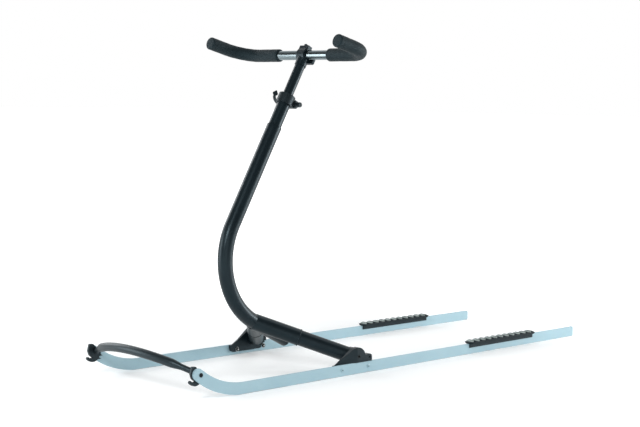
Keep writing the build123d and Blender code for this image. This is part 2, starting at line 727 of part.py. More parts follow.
NODES = [
    ("runner_left", runner_left), ("runner_right", runner_right),
    ("tip_clamp_left", tip_clamp_left), ("tip_clamp_right", tip_clamp_right),
    ("tip_bolts", tip_bolts), ("front_bow", front_bow),
    ("foot_bracket_left", foot_bracket_left), ("foot_bracket_right", foot_bracket_right),
    ("bracket_bolts", bracket_bolts), ("hinge_pins", hinge_pins),
    ("footrest_left", footrest_left), ("footrest_right", footrest_right),
    ("arm_left", arm_left), ("arm_right", arm_right), ("fork_crown", fork_crown),
    ("mast_tube", mast_tube), ("mast_sleeve", mast_sleeve),
    ("release_collar", release_collar), ("release_skewer", release_skewer),
    ("release_nut", release_nut), ("release_lever", release_lever),
    ("inner_tube", inner_tube), ("stem", stem),
    ("handlebar", handlebar), ("grip_left", grip_left), ("grip_right", grip_right),
    ("end_plugs", end_plugs),
]

os.makedirs("parts", exist_ok=True)
for label, node in NODES:
    node.part.label = label
    export_step(node.part, f"parts/{label}.step")
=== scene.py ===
import bmesh
import bpy
import numpy as np
from mathutils import Matrix, Vector


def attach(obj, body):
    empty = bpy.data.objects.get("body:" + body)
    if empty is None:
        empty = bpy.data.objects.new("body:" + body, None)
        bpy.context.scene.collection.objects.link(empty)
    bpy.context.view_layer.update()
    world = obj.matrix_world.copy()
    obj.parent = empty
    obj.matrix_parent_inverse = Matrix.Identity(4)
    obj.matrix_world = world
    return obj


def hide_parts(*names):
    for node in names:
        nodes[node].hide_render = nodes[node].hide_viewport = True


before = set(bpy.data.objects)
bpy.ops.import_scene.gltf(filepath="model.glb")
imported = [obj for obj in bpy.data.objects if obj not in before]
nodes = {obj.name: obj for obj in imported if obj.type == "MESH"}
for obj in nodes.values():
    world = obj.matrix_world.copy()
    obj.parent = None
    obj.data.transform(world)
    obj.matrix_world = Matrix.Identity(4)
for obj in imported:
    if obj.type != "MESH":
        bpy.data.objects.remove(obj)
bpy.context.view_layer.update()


# Runner blades: two flat bars of spring steel, noses rolled up cold and corners ground round.
# They are powder coated in a pale ice blue. Snow and grit polish the running edge back to bare steel.
SIDES = ((1, "left"), (-1, "right"))
BLADE_EDGE = 0.0006
MERGE_DISTANCE = 2e-6
FLAT_ANGLE = np.radians(0.4)         # facets that turn less are one face
SMOOTH_ANGLE = 32.0                  # degrees
ROUNDED_ANGLE = np.radians(38)       # edges that turn more are rounded
BARE_SPREAD = 0.006                  # of the bare edge's height, over the scuffs' range
BARE_LOW = -0.0016


def linear(hex_colour):
    """sRGB hex to linear RGBA: each channel is raised by the sRGB curve."""
    channels = [int(hex_colour[i:i + 2], 16) / 255 for i in (0, 2, 4)]
    return [c / 12.92 if c <= 0.04045 else ((c + 0.055) / 1.055) ** 2.4 for c in channels] + [1.0]


def wire(tree, node, settings, links=None):
    """Sets a node's inputs (by name or number) or properties, and links its inputs to sockets."""
    for name, value in settings.items():
        if isinstance(name, int) or name in node.inputs:
            node.inputs[name].default_value = value
        else:
            setattr(node, name, value)
    for name, socket in (links or {}).items():
        tree.links.new(socket, node.inputs[name])
    return node


def add(tree, kind, settings=None, links=None):
    """Adds one shader node and wires it."""
    return wire(tree, tree.nodes.new(kind), settings or {}, links)


def finish(name):
    """A new material: the material itself, its tree, its Principled shader and its Object coordinates."""
    material = bpy.data.materials.new(name)
    material.use_nodes = True
    tree = material.node_tree
    spot = add(tree, "ShaderNodeTexCoord")
    return material, tree, tree.nodes["Principled BSDF"], spot.outputs["Object"]


def dress(obj, material):
    """Gives an object one material on all its faces."""
    obj.data.materials.clear()
    obj.data.materials.append(material)
    obj.data.polygons.foreach_set("material_index", np.zeros(len(obj.data.polygons), dtype=np.int32))


def shade(mesh, sharp):
    """Smooth faces, with the edges that turn by more than this many degrees kept sharp."""
    mesh.polygons.foreach_set("use_smooth", np.ones(len(mesh.polygons), dtype=bool))
    mesh.set_sharp_from_angle(angle=np.radians(sharp))


def soften(node, width, material, body):
    """A merged copy of a CAD node with its sharp edges rounded to this width; it stands for the node."""
    shape = bmesh.new()
    shape.from_mesh(nodes[node].data)
    bmesh.ops.remove_doubles(shape, verts=shape.verts, dist=MERGE_DISTANCE)
    bmesh.ops.dissolve_limit(shape, angle_limit=FLAT_ANGLE, verts=shape.verts, edges=shape.edges)
    bmesh.ops.recalc_face_normals(shape, faces=shape.faces)
    mesh = bpy.data.meshes.new(node + "_soft")
    shape.to_mesh(mesh)
    shape.free()
    shade(mesh, SMOOTH_ANGLE)
    obj = bpy.data.objects.new(node + "_soft", mesh)
    bpy.context.collection.objects.link(obj)
    edge = obj.modifiers.new("edge", "BEVEL")
    edge.width = width
    edge.segments = 2
    edge.limit_method = "ANGLE"
    edge.angle_limit = ROUNDED_ANGLE
    edge.use_clamp_overlap = True
    edge.harden_normals = True
    dress(obj, material)
    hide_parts(node)
    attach(obj, body)


# Powder coat: an even, half glossy skin with a faint orange peel, lumps about 1.5 mm across. The scuffs run
# along the blade, about 1 mm high and 30 mm long, and bare steel shines where they wear through below.
blade_coat, tree, shader, spot = finish("powder_coated_spring_steel")
film = add(tree, "ShaderNodeTexNoise", {"Scale": 9.0, "Detail": 3.0}, {"Vector": spot})
tone = add(tree, "ShaderNodeMixRGB", {"Color1": linear("98B9C5"), "Color2": linear("A8C6D0")},
           {"Fac": film.outputs["Fac"]})
height = add(tree, "ShaderNodeSeparateXYZ", None, {"Vector": spot})
long_spot = add(tree, "ShaderNodeMapping", {"Scale": (1.0, 0.033, 1.0)}, {"Vector": spot})
scuffs = add(tree, "ShaderNodeTexNoise", {"Scale": 900.0, "Detail": 3.0}, {"Vector": long_spot.outputs[0]})
edge_z = add(tree, "ShaderNodeMath", {"operation": "MULTIPLY_ADD", 1: BARE_SPREAD, 2: BARE_LOW},
             {0: scuffs.outputs["Fac"]})
bare = add(tree, "ShaderNodeMath", {"operation": "LESS_THAN"},
           {0: height.outputs["Z"], 1: edge_z.outputs[0]})
colour = add(tree, "ShaderNodeMixRGB", {"Color2": linear("B9BEC0")},
             {"Fac": bare.outputs[0], "Color1": tone.outputs[0]})
sheen = add(tree, "ShaderNodeMapRange", {"To Min": 0.34, "To Max": 0.5}, {"Value": scuffs.outputs["Fac"]})
peel = add(tree, "ShaderNodeTexNoise", {"Scale": 650.0, "Detail": 1.0}, {"Vector": spot})
bump = add(tree, "ShaderNodeBump", {"Strength": 0.1, "Distance": 0.0004}, {"Height": peel.outputs["Fac"]})
wire(tree, shader, {"IOR": 1.5},
     {"Base Color": colour.outputs[0], "Metallic": bare.outputs[0], "Roughness": sheen.outputs[0],
      "Normal": bump.outputs[0]})
for _, hand in SIDES:
    soften("runner_" + hand, BLADE_EDGE, blade_coat, "sled")


# Tip clamps: glass-filled nylon, injection moulded in one piece with the towing hook and the catch teeth.
# Each is held against the inside of a nose by one button-head screw.
CLAMP_EDGE = 0.0008

# Moulded nylon: a dull black with a cool sheen and a spark-eroded grain, drawn at 0.8 mm so that it shows.
nylon, tree, shader, spot = finish("moulded_black_nylon")
grain = add(tree, "ShaderNodeTexNoise", {"Scale": 1200.0, "Detail": 2.0}, {"Vector": spot})
cloud = add(tree, "ShaderNodeTexNoise", {"Scale": 40.0, "Detail": 2.0}, {"Vector": spot})
tone = add(tree, "ShaderNodeMixRGB", {"Color1": linear("11171A"), "Color2": linear("1B2226")},
           {"Fac": cloud.outputs["Fac"]})
bump = add(tree, "ShaderNodeBump", {"Strength": 0.25, "Distance": 0.0003}, {"Height": grain.outputs["Fac"]})
wire(tree, shader, {"Roughness": 0.46, "IOR": 1.50, "Specular Tint": linear("CBE6F2")},
     {"Base Color": tone.outputs[0], "Normal": bump.outputs[0]})
for _, hand in SIDES:
    soften("tip_clamp_" + hand, CLAMP_EDGE, nylon, "sled")


# Nose screws: M6 button heads of blackened steel with a hexagon socket, their ends flush with the clamps.
# The heads sit on the outside of the blades.
NOSE_SCREW = (-0.78595, 0.06976)     # y, z
BLADE_OUT_X = 0.2325
SCREW_R = 0.003
SCREW_LEN = 0.012
SCREW_TIP = 0.0004
HEAD_R = 0.00575
HEAD_H = 0.0026
SOCKET_R = 0.0021
SOCKET_TIP = 0.0004


def skin(name, rings, material, body, closed=False, sharp=SMOOTH_ANGLE):
    """Mesh through rings of points: quads join each ring to the next; end rings are filled, or joined."""
    rows, count = rings.shape[:2]
    index = np.arange(rows * count).reshape(rows, count)
    first = index if closed else index[:-1]
    second = np.roll(index, -1, axis=0)[:len(first)]
    quads = np.stack([first, np.roll(first, -1, 1), np.roll(second, -1, 1), second], axis=-1)
    faces = quads.reshape(-1, 4).tolist()
    if not closed:
        faces += [index[0][::-1].tolist(), index[-1].tolist()]
    mesh = bpy.data.meshes.new(name)
    mesh.from_pydata(rings.reshape(-1, 3).tolist(), [], faces)
    shape = bmesh.new()
    shape.from_mesh(mesh)
    bmesh.ops.recalc_face_normals(shape, faces=shape.faces)
    shape.to_mesh(mesh)
    shape.free()
    shade(mesh, sharp)
    obj = bpy.data.objects.new(name, mesh)
    bpy.context.collection.objects.link(obj)
    dress(obj, material)
    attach(obj, body)
    return obj


def unit(vector):
    """The vector over its own length."""
    vector = np.asarray(vector, dtype=float)
    return vector / np.linalg.norm(vector, axis=-1, keepdims=True)


def hexagon(angle):
    """Radius of a hexagon as a share of its corner radius: cos 30 over cos of the angle from a flat."""
    return np.cos(np.pi / 6) / np.cos(np.mod(angle, np.pi / 3) - np.pi / 6)


def revolve(profile, at, axis, count=48, outline=hexagon):
    """Rings about an axis. Each row of the profile holds how far along the axis it is, its radius, and how
    much of the outline it takes, from 0 for a circle to 1."""
    axis = unit(axis)
    side = unit(np.cross(axis, (0.0, 0.6, 0.8)))
    other = np.cross(axis, side)
    angle = np.linspace(0, 2 * np.pi, count, endpoint=False)
    along, radius, share = np.asarray(profile, dtype=float).T[:, :, None, None]
    spread = 1 - share * (1 - outline(angle)[None, :, None])
    around = side * np.cos(angle)[:, None] + other * np.sin(angle)[:, None]
    return np.asarray(at) + axis * along + around[None] * radius * spread


def button_head(head_r, head_h, socket_r):
    """Profile of a domed screw head from its seat: a rim, an arc of a dome from 25 to 62 degrees, and a
    six-sided socket, each as a share of the head's radius and height."""
    dome = np.radians(np.linspace(25, 62, 6))
    rise = head_h * (0.3 + 0.7 * np.sin(dome) / np.sin(dome[-1]))
    round_r = head_r * np.cos(dome) / np.cos(dome[0])
    return [(0.0, head_r * 0.96, 0), (0.12 * head_h, head_r, 0), (0.3 * head_h, head_r, 0),
            *zip(rise, round_r, np.zeros(len(dome))),
            (head_h, socket_r * 1.12, 0.6), (head_h * 0.92, socket_r, 1),
            (head_h * 0.25, socket_r * 0.98, 1), (head_h * 0.15, socket_r * 0.3, 1)]


# Black oxide: dark metal with a dull, oily shine and paler grey stains about 4 mm across.
black_oxide, tree, shader, spot = finish("black_oxide_steel")
stain = add(tree, "ShaderNodeTexNoise", {"Scale": 260.0, "Detail": 4.0}, {"Vector": spot})
tone = add(tree, "ShaderNodeMixRGB", {"Color1": linear("24282A"), "Color2": linear("3A3F41")},
           {"Fac": stain.outputs["Fac"]})
sheen = add(tree, "ShaderNodeMapRange", {"To Min": 0.32, "To Max": 0.5}, {"Value": stain.outputs["Fac"]})
wire(tree, shader, {"Metallic": 1.0}, {"Base Color": tone.outputs[0], "Roughness": sheen.outputs[0]})
nose_profile = [(-SCREW_LEN, SCREW_R - SCREW_TIP, 0), (SCREW_TIP - SCREW_LEN, SCREW_R, 0), (0.0, SCREW_R, 0)]
nose_profile += button_head(HEAD_R, HEAD_H, SOCKET_R)
for side, hand in SIDES:
    rings = revolve(nose_profile, (side * BLADE_OUT_X, *NOSE_SCREW), (side, 0, 0))
    screw = skin(f"nose_screw_{hand}", rings, black_oxide, "sled")
    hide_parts("tip_bolts")


# Front bow: a steel rod bent into an arch between the noses, under a thick black foam sleeve.
# The sleeve tapers to the rod near each end, where a short ferrule meets the clamp.
BOW_R = 0.01218
BOW_END_R = 0.008
BOW_END = (-0.78695, 0.07176)        # y, z
BOW_HALF = 0.2205
BOW_BULGE = 0.07155
BOW_TILT = np.radians(34.9)
BOW_THICK_X = 0.150
BOW_THIN_X = 0.186
FERRULE_LEN = 0.010
FERRULE_R = 0.0092
FERRULE_GAP = 0.0002                 # to the end of the bow
FERRULE_EDGE = np.array([0.0012, 0.0003, 0, 0, 0, 0, 0.0003, 0.0012])


def sweep(path, side, radius, count=40):
    """Round rings along a path: the cosine goes along the side vector, the sine across it and the path."""
    path = np.asarray(path, dtype=float)
    along = unit(np.gradient(path, axis=0))
    side = unit(np.broadcast_to(side, path.shape))
    across = unit(np.cross(side, along))
    angle = np.linspace(0, 2 * np.pi, count, endpoint=False)
    reach = np.broadcast_to(radius, len(path))[:, None]
    wide = (reach * np.cos(angle))[..., None] * side[:, None]
    high = (reach * np.sin(angle))[..., None] * across[:, None]
    return path[:, None] + wide + high


def bow_line(x):
    """The bow's axis: a circular arch over the line between the clamps, tilted forward and up."""
    arc_r = (BOW_HALF ** 2 + BOW_BULGE ** 2) / (2 * BOW_BULGE)
    out = np.sqrt(arc_r ** 2 - x ** 2) - arc_r + BOW_BULGE
    return np.stack([x, BOW_END[0] - out * np.cos(BOW_TILT), BOW_END[1] + out * np.sin(BOW_TILT)], axis=-1)


# Neoprene foam with a closed skin: a soft cool shine along its top, broken by wrinkles 2.5 mm apart.
sleeve, tree, shader, spot = finish("black_neoprene_sleeve")
wrinkle = add(tree, "ShaderNodeTexNoise", {"Scale": 400.0, "Detail": 3.0}, {"Vector": spot})
cloud = add(tree, "ShaderNodeTexNoise", {"Scale": 26.0, "Detail": 2.0}, {"Vector": spot})
tone = add(tree, "ShaderNodeMixRGB", {"Color1": linear("10171A"), "Color2": linear("1A2327")},
           {"Fac": cloud.outputs["Fac"]})
bump = add(tree, "ShaderNodeBump", {"Strength": 0.3, "Distance": 0.0004}, {"Height": wrinkle.outputs["Fac"]})
wire(tree, shader, {"Roughness": 0.41, "IOR": 1.58, "Specular Tint": linear("CBE6F2")},
     {"Base Color": tone.outputs[0], "Normal": bump.outputs[0]})
x = np.linspace(-BOW_HALF, BOW_HALF, 161)
taper = np.clip((np.abs(x) - BOW_THICK_X) / (BOW_THIN_X - BOW_THICK_X), 0, 1)
taper = taper ** 2 * (3 - 2 * taper)
bow_side = (0.0, np.sin(BOW_TILT), np.cos(BOW_TILT))
bow = skin("bow_sleeve", sweep(bow_line(x), bow_side, BOW_R + (BOW_END_R - BOW_R) * taper),
           sleeve, "sled")
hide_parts("front_bow")
for side, hand in SIDES:
    x = side * np.linspace(BOW_HALF - FERRULE_LEN, BOW_HALF - FERRULE_GAP, len(FERRULE_EDGE))
    skin(f"bow_ferrule_{hand}", sweep(bow_line(x), bow_side, FERRULE_R - FERRULE_EDGE),
         nylon, "sled")


# Foot brackets: die-cast aluminium cheeks, blasted and powder coated satin black like the fork.
# Each is bolted through the blade, with the hinge pin through its hump.
BRACKET_EDGE = 0.0009

# Satin black powder coat: a deep blue-black with soft clear bands of light and a faint orange peel.
coat, tree, shader, spot = finish("satin_black_powder_coat")
peel = add(tree, "ShaderNodeTexNoise", {"Scale": 650.0, "Detail": 1.0}, {"Vector": spot})
cloud = add(tree, "ShaderNodeTexNoise", {"Scale": 12.0, "Detail": 4.0}, {"Vector": spot})
tone = add(tree, "ShaderNodeMixRGB", {"Color1": linear("0B1317"), "Color2": linear("131E23")},
           {"Fac": cloud.outputs["Fac"]})
sheen = add(tree, "ShaderNodeMapRange", {"To Min": 0.3, "To Max": 0.4}, {"Value": cloud.outputs["Fac"]})
bump = add(tree, "ShaderNodeBump", {"Strength": 0.12, "Distance": 0.0004}, {"Height": peel.outputs["Fac"]})
wire(tree, shader, {"IOR": 1.45, "Specular Tint": linear("CBE6F2")},
     {"Base Color": tone.outputs[0], "Roughness": sheen.outputs[0], "Normal": bump.outputs[0]})
for _, hand in SIDES:
    soften("foot_bracket_" + hand, BRACKET_EDGE, coat, "sled")


# Bracket bolts: M6 button heads outside the blade, painted over with it, and nuts on washers inside. A dark
# hexagon in each socket is painted shade. The washers and bolt ends are zinc plated, and the nuts are
# blackened.
BRACKET_BOLTS = [("front", -0.260, 0.018), ("rear", -0.1525, 0.018)]     # y, z
CHEEK_IN_X = 0.2195
NUT_R = 0.0058
NUT_H = 0.0046
NUT_EDGE = 0.0006
NUT_DISH = 0.0008
WASH_R = 0.0072
WASH_T = 0.0010
WASH_EDGE = 0.0002
BOLT_OUT = 0.0054
BOLT_EDGE = 0.0005
BOLT_IN_NUT = 0.0012

# Bright zinc plate: a pale shiny metal with cloudy patches about 3 mm across.
zinc, tree, shader, spot = finish("bright_zinc_plate")
cloud = add(tree, "ShaderNodeTexNoise", {"Scale": 300.0, "Detail": 4.0}, {"Vector": spot})
tone = add(tree, "ShaderNodeMixRGB", {"Color1": linear("B4B8B8"), "Color2": linear("D5D8D8")},
           {"Fac": cloud.outputs["Fac"]})
sheen = add(tree, "ShaderNodeMapRange", {"To Min": 0.2, "To Max": 0.42}, {"Value": cloud.outputs["Fac"]})
wire(tree, shader, {"Metallic": 1.0}, {"Base Color": tone.outputs[0], "Roughness": sheen.outputs[0]})
head_profile = [(CHEEK_IN_X - BLADE_OUT_X, SCREW_R, 0), (0.0, SCREW_R, 0)]
head_profile += button_head(HEAD_R, HEAD_H, SOCKET_R)
socket_shade_profile = [(HEAD_H * 0.2, SOCKET_R * 0.9, 1), (HEAD_H * 0.8, SOCKET_R * 0.9, 1),
                  (HEAD_H * 0.8, SOCKET_TIP, 1)]
washer_profile = [(0.0, WASH_R, 0), (WASH_T - WASH_EDGE, WASH_R, 0), (WASH_T, WASH_R - WASH_EDGE, 0),
                  (WASH_T, NUT_R * 0.8, 0)]
nut_profile = [(WASH_T * 0.5, NUT_R * 0.97, 0.4), (WASH_T * 1.3, NUT_R, 1), (NUT_H - NUT_EDGE, NUT_R, 1),
               (NUT_H, NUT_R * 0.86, 0.3), (NUT_H, SCREW_R * 1.25, 0), (NUT_H - NUT_DISH, SCREW_R, 0)]
end_profile = [(NUT_H - BOLT_IN_NUT, SCREW_R, 0), (BOLT_OUT - BOLT_EDGE, SCREW_R, 0),
               (BOLT_OUT, SCREW_R * 0.8, 0)]
for side, hand in SIDES:
    for name, y, z in BRACKET_BOLTS:
        outside, inside = (side * BLADE_OUT_X, y, z), (side * CHEEK_IN_X, y, z)
        head = skin(f"bracket_bolt_{name}_{hand}", revolve(head_profile, outside, (side, 0, 0)),
                    blade_coat, "sled")
        # A dark blackened hexagon inside each socket: painted shade.
        skin(f"bracket_socket_shade_{name}_{hand}", revolve(socket_shade_profile, outside, (side, 0, 0)),
             black_oxide, "sled")
        washer = skin(f"bracket_washer_{name}_{hand}", revolve(washer_profile, inside, (-side, 0, 0)),
                      zinc, "sled")
        nut = skin(f"bracket_nut_{name}_{hand}", revolve(nut_profile, inside, (-side, 0, 0)),
                   black_oxide, "sled")
        end = skin(f"bracket_bolt_end_{name}_{hand}", revolve(end_profile, inside, (-side, 0, 0)),
                   zinc, "sled")
        for piece in (head, washer, nut, end):
            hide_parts("bracket_bolts")


# Hinge pins: turned steel pins with a hexagon socket outside and a riveted, washered end inside the eye.
# They are blackened; the washer is zinc plated.
HINGE = (-0.1945, 0.0505)            # y, z
PIN_R = 0.006
PIN_EDGE = 0.0006
PIN_SOCKET_R = 0.0036
PIN_SOCKET_DEEP = 0.005
PIN_SOCKET_POINT = 0.001             # deeper in the middle
DRAFT = 0.0001                       # a socket or hollow is narrower by this at its floor
CHEEK_OUT_X = 0.235
EYE_IN_X = 0.196
WASHER_R = 0.0088
WASHER_T = 0.0011
WASHER_EDGE = 0.0003
WASHER_GAP = 0.0001                  # off the arm's eye
RIVET_R = 0.0046
RIVET_H = 0.0032
RIVET_EDGE = 0.001
RIVET_CROWN = 0.0002
HOLLOW_R = 0.0018
HOLLOW_DEEP = 0.0016
pin_len = CHEEK_OUT_X - EYE_IN_X
pin_profile = [(0.0, PIN_R, 0), (pin_len - PIN_EDGE, PIN_R, 0), (pin_len, PIN_R - PIN_EDGE, 0),
               (pin_len, PIN_SOCKET_R, 1), (pin_len - PIN_SOCKET_DEEP, PIN_SOCKET_R - DRAFT, 1),
               (pin_len - PIN_SOCKET_DEEP - PIN_SOCKET_POINT, PIN_EDGE, 1)]
eye_washer_profile = [(WASHER_GAP, WASHER_R, 0), (WASHER_T - WASHER_EDGE, WASHER_R, 0),
                      (WASHER_T, WASHER_R - WASHER_EDGE, 0), (WASHER_T, PIN_R * 0.9, 0),
                      (WASHER_T * 0.4, PIN_R * 0.8, 0)]
rivet_profile = [(WASHER_T * 0.3, RIVET_R, 0), (RIVET_H - RIVET_EDGE, RIVET_R, 0),
                 (RIVET_H - RIVET_CROWN, RIVET_R - RIVET_EDGE, 0), (RIVET_H, HOLLOW_R, 1),
                 (RIVET_H - HOLLOW_DEEP, HOLLOW_R - DRAFT, 1)]
for side, hand in SIDES:
    pin_end = (side * EYE_IN_X, *HINGE)
    pin = skin(f"hinge_pin_{hand}", revolve(pin_profile, pin_end, (side, 0, 0)),
               black_oxide, "sled")
    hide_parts("hinge_pins")
    skin(f"hinge_washer_{hand}", revolve(eye_washer_profile, pin_end, (-side, 0, 0)),
         zinc, "sled")
    skin(f"hinge_pin_end_{hand}", revolve(rivet_profile, pin_end, (-side, 0, 0)),
         black_oxide, "sled")


# Footrests: black rubber moulded over the blade's top, a plate with eleven wedge ribs for grip.
# A skirt on both sides of the blade holds it down.
REST_EDGE = 0.0007
RIB_FOOT_Z = 0.0388
RIB_HIGHLIGHT_Z = 0.0396

# Moulded rubber: matt black under a bloom in patches about 8 mm across, with a grit drawn at 1.1 mm so that
# it shows. A pale grey painted highlight lies on the front faces of the ribs, in patches, from just above
# their feet.
rubber, tree, shader, spot = finish("moulded_rubber")
bloom = add(tree, "ShaderNodeTexNoise", {"Scale": 120.0, "Detail": 4.0}, {"Vector": spot})
height = add(tree, "ShaderNodeSeparateXYZ", None, {"Vector": spot})
# Painted highlight mask: forward-facing rib faces above their feet, in patches.
rib = add(tree, "ShaderNodeMapRange", {"From Min": RIB_FOOT_Z, "From Max": RIB_HIGHLIGHT_Z},
          {"Value": height.outputs["Z"]})
facing = add(tree, "ShaderNodeNewGeometry")
lie = add(tree, "ShaderNodeSeparateXYZ", None, {"Vector": facing.outputs["True Normal"]})
front = add(tree, "ShaderNodeMapRange", {"From Min": -0.2, "From Max": -0.6}, {"Value": lie.outputs["Y"]})
highlight_patches = add(tree, "ShaderNodeMapRange", {"From Min": 0.3, "From Max": 0.6, "To Min": 0.45},
           {"Value": bloom.outputs["Fac"]})
rib_highlight = add(tree, "ShaderNodeMath", {"operation": "MULTIPLY"}, {0: rib.outputs[0], 1: front.outputs[0]})
rib_highlight = add(tree, "ShaderNodeMath", {"operation": "MULTIPLY"}, {0: rib_highlight.outputs[0], 1: highlight_patches.outputs[0]})
tone = add(tree, "ShaderNodeMixRGB", {"Color1": linear("101518"), "Color2": linear("181F23")},
           {"Fac": bloom.outputs["Fac"]})
# The pale grey is a painted highlight, not a colour of the rubber.
highlighted_tone = add(tree, "ShaderNodeMixRGB", {"Color2": linear("A6B2AF")},
           {"Fac": rib_highlight.outputs[0], "Color1": tone.outputs[0]})
grit = add(tree, "ShaderNodeTexNoise", {"Scale": 900.0, "Detail": 2.0}, {"Vector": spot})
bump = add(tree, "ShaderNodeBump", {"Strength": 0.3, "Distance": 0.0003}, {"Height": grit.outputs["Fac"]})
wire(tree, shader, {"Roughness": 0.58, "IOR": 1.45, "Specular Tint": linear("BFE0EE")},
     {"Base Color": highlighted_tone.outputs[0], "Normal": bump.outputs[0]})
for _, hand in SIDES:
    soften("footrest_" + hand, REST_EDGE, rubber, "sled")


# Fork: two steel arms in the sleeves of a crown, welded round, with the mast's foot run on between them.
# All of it is coated after welding. The weld beads are laid by hand, a ripple about every 3 mm.
FORK_TOP = np.array([0.0, -0.39011, 0.14264])
ARM_END = np.array([0.200, -0.200, 0.051])
SLEEVE_LEN = 0.137
ARM_R = 0.0225
ARM_EDGE = 0.0008
CROWN_EDGE = 0.0010
BEAD_R = 0.0019
BEAD_AHEAD = 0.0004                  # of the sleeve's end
BEAD_OVER = 0.0006                   # the arm's surface
RIPPLE = 0.003
RIPPLE_SHARE = 0.16
for _, hand in SIDES:
    soften("arm_" + hand, ARM_EDGE, coat, "mast")
soften("fork_crown", CROWN_EDGE, coat, "mast")


def bead(name, path, body):
    """A weld bead: a closed ring of sections whose radius swells once every ripple length."""
    steps = np.linalg.norm(np.roll(path, -1, 0) - path, axis=1)
    travel = np.concatenate([[0], np.cumsum(steps)[:-1]])
    along = unit(np.roll(path, -1, 0) - np.roll(path, 1, 0))
    side = unit(np.cross(along, (0.31, 0.52, 0.79)))
    across = np.cross(side, along)
    angle = np.linspace(0, 2 * np.pi, 14, endpoint=False)
    radius = BEAD_R * (1 + RIPPLE_SHARE * np.cos(2 * np.pi * travel / RIPPLE))
    section = side[:, None] * np.cos(angle)[:, None] + across[:, None] * np.sin(angle)[:, None]
    rings = path[:, None] + section * radius[:, None, None]
    skin(name, rings, coat, body, closed=True, sharp=60)


around = np.linspace(0, 2 * np.pi, 160, endpoint=False)[:, None]
for side, hand in SIDES:
    along = unit((ARM_END - FORK_TOP) * (side, 1, 1))
    level = unit(np.cross(along, (0, 0, 1)))
    upright = np.cross(along, level)
    ring = (level * np.cos(around) + upright * np.sin(around)) * (ARM_R + BEAD_OVER)
    bead(f"sleeve_bead_{hand}", FORK_TOP + along * (SLEEVE_LEN + BEAD_AHEAD) + ring, "mast")


# Mast: one wide steel tube, mandrel bent at its foot and coated black like the fork.
# Its upper edge is rolled in to the narrower guide tube.
BAR_AT = np.array([0.0, -0.204, 0.9162])
LEAN = np.radians(29.4)
MAST_UP = np.array([0.0, np.sin(LEAN), np.cos(LEAN)])
MAST_BACK = np.array([0.0, np.cos(LEAN), -np.sin(LEAN)])
MAST_R = 0.022
BEND_START = 0.557
BEND_R = 0.2085
BEND_ANGLE = np.radians(92.5)
MAST_TOP = 0.238                     # down from the bar
ROLL_FROM = 0.002                    # below the top
ROLL_DOWN = np.array([0.0008, 0.0002, 0.0])
ROLL_IN = np.array([0.0002, 0.0008, 0.0020])


def on_mast(s, x=0.0, back=0.0):
    """Point s down the mast from the bar, x to the left and back behind the axis."""
    return BAR_AT - MAST_UP * s + np.array([1.0, 0, 0]) * x + MAST_BACK * back


bend_centre = on_mast(BEND_START, back=BEND_R)
angle = np.pi - LEAN + np.linspace(BEND_ANGLE, 0, 72)
bend = bend_centre + BEND_R * np.stack([0 * angle, np.cos(angle), np.sin(angle)], axis=-1)
straight = on_mast(np.linspace(BEND_START, MAST_TOP + ROLL_FROM, 24)[1:, None])
path = np.concatenate([bend, straight, on_mast(MAST_TOP + ROLL_DOWN[:, None])])
radius = np.full(len(path), MAST_R)
radius[-len(ROLL_IN):] -= ROLL_IN
mast = skin("mast_wide_tube", sweep(path, (1.0, 0, 0), radius, count=64), coat, "mast")
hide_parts("mast_tube")


# Guide tube: the mast's narrower upper end, a smooth tube that the sliding tube runs in.
# It is fixed in the wide tube and has the same satin black finish.
dress(nodes["mast_sleeve"], coat)


# Quick release: a nylon collar with two ears behind the mast and a steel skewer through them.
# A star-lobed nut with a steel end ring screws on at the left; at the right a cam lever folds round the
# collar and ends in a diamond paddle.
SKEWER_S = 0.150
SKEWER_BACK = 0.030
EAR_HALF_W = 0.014
COLLAR_EDGE = 0.0009
LEVER_EDGE = 0.0008
STAR_R = 0.0112
STAR_T = 0.0040
STAR_GAP = 0.0002                    # off the collar's ear
STAR_EDGE = 0.0006
LOBE_DEPTH = 0.16
KNOB_R = 0.0075
KNOB_LEN = 0.021
KNOB_ROUND = 0.0022
KNOB_EDGE = 0.0006
RING_R = 0.0054
RING_DEEP = 0.0012
RING_DISH = 0.0010
RING_SUNK = 0.0001                   # below the knob's end
soften("release_collar", COLLAR_EDGE, nylon, "mast")
dress(nodes["release_skewer"], black_oxide)
soften("release_lever", LEVER_EDGE, nylon, "mast")


def lobes(angle):
    """Radius of the nut's star as a share: eight lobes, the cosine squared between them."""
    return 1 - LOBE_DEPTH + LOBE_DEPTH * np.cos(4 * angle) ** 2


knob_profile = [(STAR_GAP, STAR_R * 0.92, 1), (STAR_GAP + STAR_EDGE, STAR_R, 1),
                (STAR_T - STAR_EDGE, STAR_R, 1), (STAR_T, STAR_R * 0.92, 1),
                (STAR_T, KNOB_R, 0), (KNOB_LEN - KNOB_ROUND, KNOB_R, 0),
                (KNOB_LEN - KNOB_EDGE, KNOB_R * 0.94, 0), (KNOB_LEN, KNOB_R * 0.84, 0),
                (KNOB_LEN, RING_R, 0), (KNOB_LEN - RING_DEEP, RING_R * 0.9, 0)]
knob_at = on_mast(SKEWER_S, EAR_HALF_W, SKEWER_BACK)
knob = skin("release_nut_star", revolve(knob_profile, knob_at, (1, 0, 0), count=144, outline=lobes),
            nylon, "mast")
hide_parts("release_nut")
ring_profile = [(KNOB_LEN - RING_DEEP, RING_R * 0.98, 0), (KNOB_LEN - 2 * RING_SUNK, RING_R * 0.98, 0),
                (KNOB_LEN - RING_SUNK, RING_R * 0.90, 0), (KNOB_LEN - RING_SUNK, RING_R * 0.62, 0),
                (KNOB_LEN - RING_DISH, RING_R * 0.56, 0), (KNOB_LEN - RING_DISH, RING_R * 0.1, 0)]
skin("release_nut_ring", revolve(ring_profile, knob_at, (1, 0, 0)), black_oxide, "mast")


# Sliding tube: a cold-drawn steel tube, coated black, that carries the stem.
# It slides in the guide tube, and the quick release clamps it at the height that the rider wants.
dress(nodes["inner_tube"], coat)


